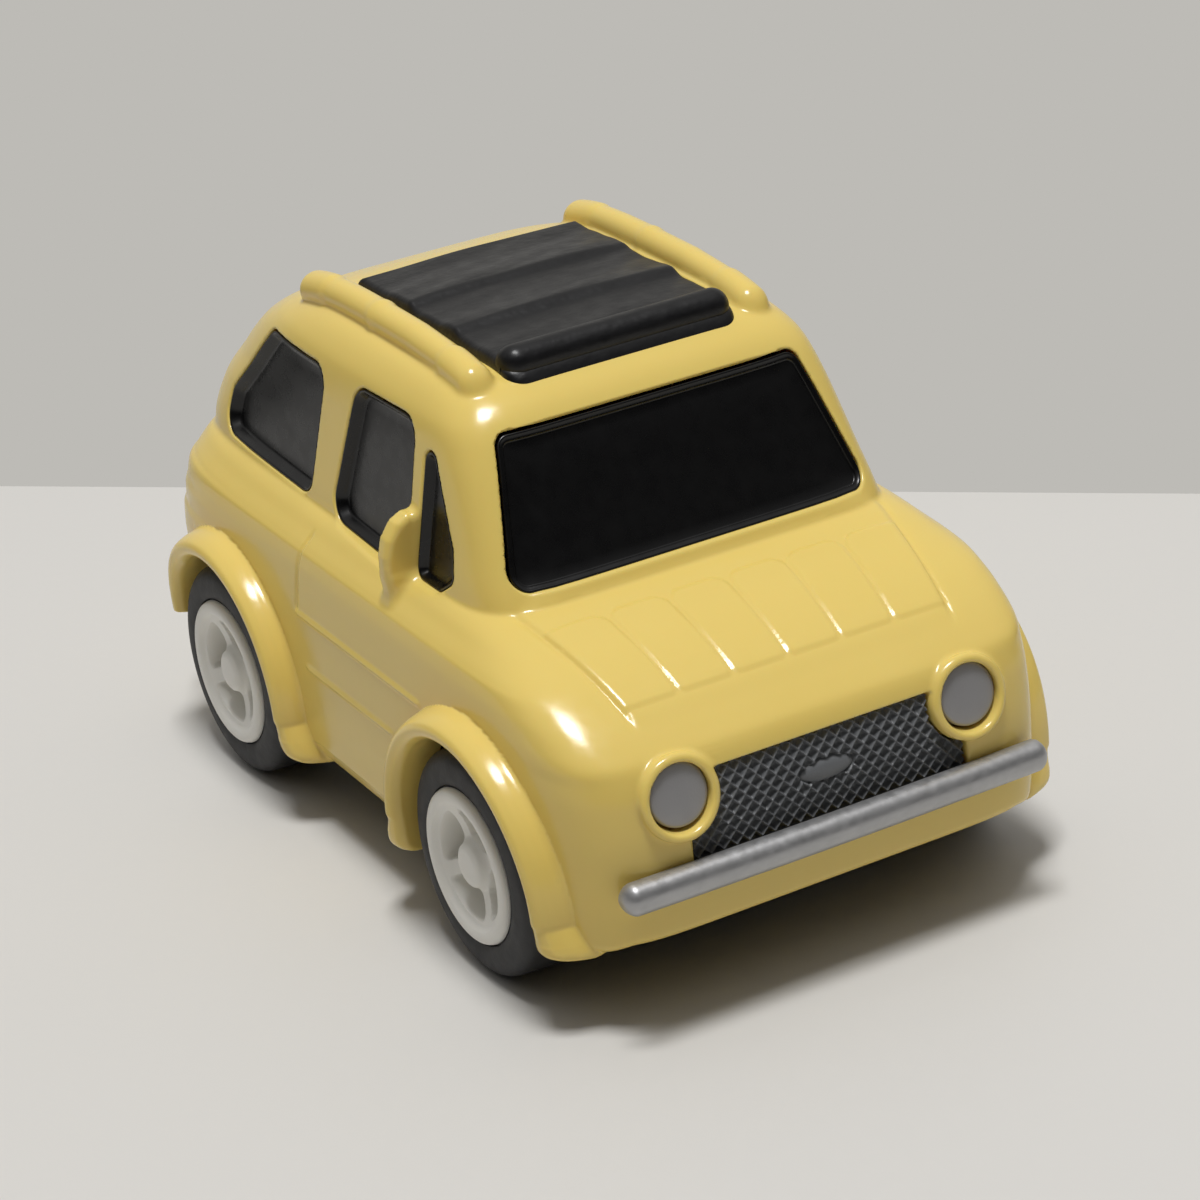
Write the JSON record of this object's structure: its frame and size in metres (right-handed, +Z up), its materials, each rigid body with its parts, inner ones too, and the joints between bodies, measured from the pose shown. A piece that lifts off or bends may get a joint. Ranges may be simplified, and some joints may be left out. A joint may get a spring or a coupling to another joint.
{
  "type": "pullback toy car",
  "caption": "Small pullback toy car: rounded yellow moulded shell with black windows and canvas roof, silver bumpers, white hubs and a spring motor geared to the rear axle.",
  "frame": {"origin": "On the floor under the middle of the car's length and width.", "axes": "+X points forward, +Y to the car's left, +Z up."},
  "size_m": [0.044, 0.0272, 0.0254],
  "materials": {
    "shell": "semi-gloss moulded plastic",
    "windows": "high gloss",
    "canvas": "satin, moulded cloth grain",
    "grille": "satin paint on moulded plastic",
    "lamp_silver": "matt silver paint",
    "lamp_red": "gloss",
    "foil": "bright silver foil on plastic",
    "base": "satin",
    "motor_case": "satin",
    "spring_steel": "blued strip",
    "gear": "satin nylon",
    "steel": "drawn rod",
    "hub": "satin moulded plastic",
    "tyre": "matt"
  },
  "bodies": {
    "car": {"body_shell": "shell", "window_insert": "windows", "canvas_roof": "canvas", "grille": "grille", "headlamp_left": "lamp_silver", "headlamp_right": "lamp_silver", "tail_lamp_left": "lamp_red", "tail_lamp_right": "lamp_red", "front_bumper": "foil", "rear_bumper": "foil", "chassis": "base", "motor_case_left": "motor_case", "motor_case_right": "motor_case", "mainspring": "spring_steel", "idler_pin": "steel"},
    "rear_wheels": {"rear_axle": "steel", "axle_pinion": "gear", "rear_hub_left": "hub", "rear_hub_right": "hub", "rear_tyre_left": "tyre", "rear_tyre_right": "tyre"},
    "front_wheels": {"front_axle": "steel", "front_hub_left": "hub", "front_hub_right": "hub", "front_tyre_left": "tyre", "front_tyre_right": "tyre"},
    "idler": {"idler_gear": "gear"},
    "spring_wheel": {"spring_gear": "gear"}
  },
  "joints": [
    {"name": "rear_axle_spin", "type": "hinge", "parent": "car", "child": "rear_wheels", "pos_m": [-0.0124, 0, 0.0052], "axis": [0, 1, 0], "continuous": true},
    {"name": "front_axle_spin", "type": "hinge", "parent": "car", "child": "front_wheels", "pos_m": [0.0116, 0, 0.0052], "axis": [0, 1, 0], "continuous": true},
    {"name": "idler_spin", "type": "hinge", "parent": "car", "child": "idler", "pos_m": [-0.00728, 0, 0.00748], "axis": [0, 1, 0], "continuous": true},
    {"name": "spring_gear_spin", "type": "hinge", "parent": "car", "child": "spring_wheel", "pos_m": [-0.00181, 0, 0.00864], "axis": [0, 1, 0], "continuous": true}
  ],
  "couplings": [
    {"joint": "idler_spin", "follows": "rear_axle_spin", "ratio": -0.4},
    {"joint": "spring_gear_spin", "follows": "rear_axle_spin", "ratio": 0.16}
  ]
}
